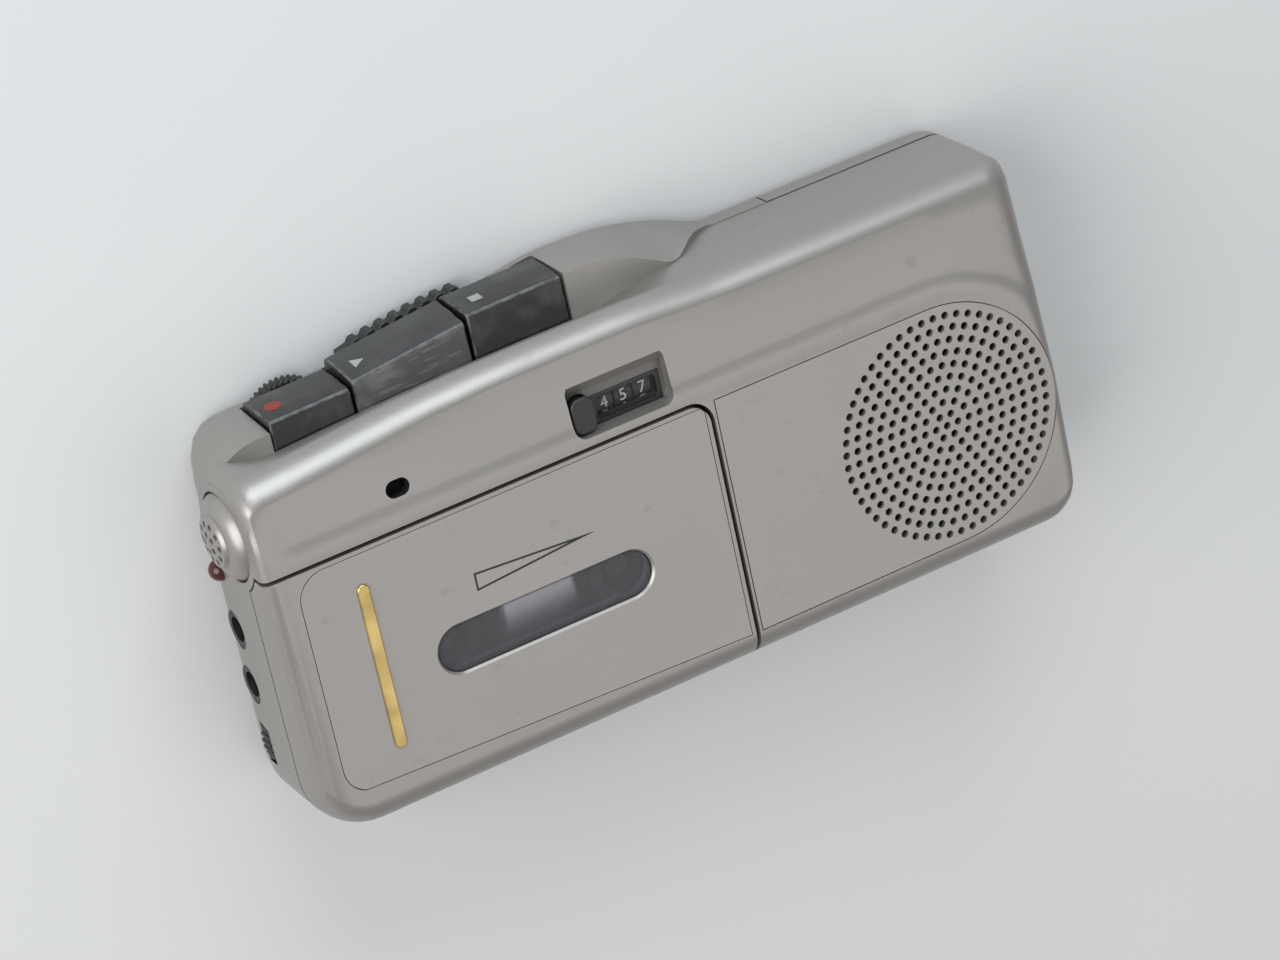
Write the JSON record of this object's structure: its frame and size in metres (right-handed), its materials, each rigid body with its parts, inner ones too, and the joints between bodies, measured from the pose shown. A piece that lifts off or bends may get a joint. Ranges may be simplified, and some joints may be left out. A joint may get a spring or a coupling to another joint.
{
  "type": "dictation machine",
  "caption": "Hand-held micro tape-cassette dictation recorder with a hinged cassette door, perforated speaker plate, side keys, thumb dials and tape counter.",
  "frame": {"origin": "middle of the back face, with the recorder lying on its back", "axes": "+X to the speaker end, +Y to the key side, +Z out of the front panel"},
  "size_m": [0.12, 0.059, 0.0241],
  "materials": {
    "silver_case": "satin silver paint on moulded plastic",
    "satin_plate": "fine satin sheet",
    "smoky_window": "smoky clear plastic",
    "clear_window": "clear plastic",
    "steel": "bright plated",
    "cell_jacket": "gloss",
    "board": "satin lacquer",
    "cone_paper": "matte",
    "magnet": "matte",
    "black_plastic": "satin",
    "black_key": "semi gloss, worn",
    "number_wheel": "satin",
    "red_lens": "clear red",
    "brass": "machined",
    "rubber": "matte",
    "white_plastic": "satin",
    "grey_plastic": "satin",
    "tape": "dull sheen"
  },
  "bodies": {
    "case": {"front_case": "silver_case", "rear_case": "silver_case", "speaker_panel": "satin_plate", "batteries": "cell_jacket", "battery_contacts": "steel", "battery_springs": "steel", "circuit_board": "board", "speaker_frame": "black_plastic", "speaker_cone": "cone_paper", "speaker_magnet": "magnet", "mic_cap": "silver_case", "mic_capsule": "black_plastic", "record_lamp": "red_lens", "earphone_socket": "black_plastic", "microphone_socket": "black_plastic", "counter_frame": "black_plastic", "counter_window": "clear_window", "counter_shaft": "steel", "deck_plate": "steel", "motor": "steel", "drive_belt": "rubber", "case_screws": "steel"},
    "door": {"cassette_door": "silver_case", "door_panel": "satin_plate", "door_window": "smoky_window", "cassette_holder": "steel", "hinge_pins": "steel", "cassette_shell": "grey_plastic"},
    "supply_reel": {"supply_hub": "white_plastic", "supply_tape": "tape"},
    "take_up_reel": {"take_up_hub": "white_plastic", "take_up_tape": "tape"},
    "battery_cover": {"battery_cover": "silver_case"},
    "voice_dial": {"voice_dial": "black_plastic"},
    "volume_dial": {"volume_dial": "black_plastic"},
    "counter_units": {"counter_units": "number_wheel"},
    "counter_tens": {"counter_tens": "number_wheel"},
    "counter_hundreds": {"counter_hundreds": "number_wheel"},
    "reset_button": {"reset_button": "black_plastic"},
    "motor_pulley": {"motor_pulley": "brass"},
    "flywheel": {"flywheel": "brass"},
    "take_up_spindle": {"take_up_spindle": "white_plastic"},
    "supply_spindle": {"supply_spindle": "white_plastic"},
    "head_carriage": {"head_carriage": "steel", "tape_head": "steel", "erase_head": "magnet"},
    "pinch_roller": {"pinch_roller": "rubber"},
    "record_key": {"record_key": "black_key"},
    "play_key": {"play_key": "black_key"},
    "stop_key": {"stop_key": "black_key"},
    "cue_slider": {"cue_slider": "black_plastic"},
    "door_latch": {"door_latch": "steel"}
  },
  "joints": [
    {"name": "door_hinge", "type": "hinge", "parent": "case", "child": "door", "pos_m": [-0.025, -0.02855, 0.0176], "axis": [1, 0, 0], "range_deg": [0, 55]},
    {"name": "supply_reel_spin", "type": "hinge", "parent": "door", "child": "supply_reel", "pos_m": [-0.0336, -0.0095, 0.017], "axis": [0, 0, 1], "continuous": true},
    {"name": "take_up_reel_spin", "type": "hinge", "parent": "door", "child": "take_up_reel", "pos_m": [-0.0076, -0.0095, 0.017], "axis": [0, 0, 1], "continuous": true},
    {"name": "battery_cover_slide", "type": "slide", "parent": "case", "child": "battery_cover", "axis": [1, 0, 0], "range_m": [0, 0.045]},
    {"name": "voice_dial_turn", "type": "hinge", "parent": "case", "child": "voice_dial", "pos_m": [-0.0519, -0.0184, 0.0095], "axis": [0, 0, 1], "range_deg": [-135, 135]},
    {"name": "volume_dial_turn", "type": "hinge", "parent": "case", "child": "volume_dial", "pos_m": [-0.041, 0.01994, 0.0021], "axis": [0, 0, 1], "range_deg": [-135, 135]},
    {"name": "counter_units_spin", "type": "hinge", "parent": "case", "child": "counter_units", "pos_m": [0, 0.0141, 0.0175], "axis": [1, 0, 0], "continuous": true},
    {"name": "counter_tens_spin", "type": "hinge", "parent": "case", "child": "counter_tens", "pos_m": [-0.003, 0.0141, 0.0175], "axis": [1, 0, 0], "continuous": true},
    {"name": "counter_hundreds_spin", "type": "hinge", "parent": "case", "child": "counter_hundreds", "pos_m": [-0.005, 0.0141, 0.0175], "axis": [1, 0, 0], "continuous": true},
    {"name": "reset_press", "type": "slide", "parent": "case", "child": "reset_button", "axis": [0, 0, -1], "range_m": [0, 0.0008], "stiffness_N_per_m": 600, "springref_m": -0.0005},
    {"name": "motor_pulley_spin", "type": "hinge", "parent": "case", "child": "motor_pulley", "pos_m": [-0.0383, -0.0195, 0.0049], "axis": [0, 0, 1], "continuous": true},
    {"name": "flywheel_spin", "type": "hinge", "parent": "case", "child": "flywheel", "pos_m": [-0.011, 0.00408, 0.005], "axis": [0, 0, 1], "continuous": true},
    {"name": "take_up_spindle_spin", "type": "hinge", "parent": "case", "child": "take_up_spindle", "pos_m": [-0.0076, -0.0095, 0.01], "axis": [0, 0, 1], "continuous": true},
    {"name": "supply_spindle_spin", "type": "hinge", "parent": "case", "child": "supply_spindle", "pos_m": [-0.0336, -0.0095, 0.01], "axis": [0, 0, 1], "continuous": true},
    {"name": "head_carriage_slide", "type": "slide", "parent": "case", "child": "head_carriage", "axis": [0, -1, 0], "range_m": [0, 0.0025]},
    {"name": "pinch_roller_spin", "type": "hinge", "parent": "head_carriage", "child": "pinch_roller", "pos_m": [-0.011, 0.01048, 0.017], "axis": [0, 0, 1], "continuous": true},
    {"name": "record_key_press", "type": "slide", "parent": "case", "child": "record_key", "axis": [0, -1, 0], "range_m": [0, 0.0025], "stiffness_N_per_m": 500, "springref_m": -0.001},
    {"name": "play_key_press", "type": "slide", "parent": "case", "child": "play_key", "axis": [0, -1, 0], "range_m": [0, 0.0025], "stiffness_N_per_m": 500, "springref_m": -0.001},
    {"name": "stop_key_press", "type": "slide", "parent": "case", "child": "stop_key", "axis": [0, -1, 0], "range_m": [0, 0.0025], "stiffness_N_per_m": 500, "springref_m": -0.001},
    {"name": "cue_slide", "type": "slide", "parent": "case", "child": "cue_slider", "axis": [1, 0, 0], "range_m": [-0.0025, 0.0025], "stiffness_N_per_m": 300},
    {"name": "door_latch_slide", "type": "slide", "parent": "case", "child": "door_latch", "axis": [0, -1, 0], "range_m": [0, 0.0025]}
  ],
  "couplings": [
    {"joint": "take_up_spindle_spin", "follows": "flywheel_spin", "ratio": -0.55556},
    {"joint": "take_up_reel_spin", "follows": "flywheel_spin", "ratio": -0.55556},
    {"joint": "supply_spindle_spin", "follows": "flywheel_spin", "ratio": -0.77778},
    {"joint": "supply_reel_spin", "follows": "flywheel_spin", "ratio": -0.77778},
    {"joint": "motor_pulley_spin", "follows": "flywheel_spin", "ratio": 4.6},
    {"joint": "counter_units_spin", "follows": "flywheel_spin", "ratio": 0.055556},
    {"joint": "counter_tens_spin", "follows": "flywheel_spin", "ratio": 0.0055556},
    {"joint": "counter_hundreds_spin", "follows": "flywheel_spin", "ratio": 0.00055556},
    {"joint": "head_carriage_slide", "follows": "play_key_press", "ratio": 1},
    {"joint": "door_latch_slide", "follows": "stop_key_press", "ratio": 1}
  ]
}
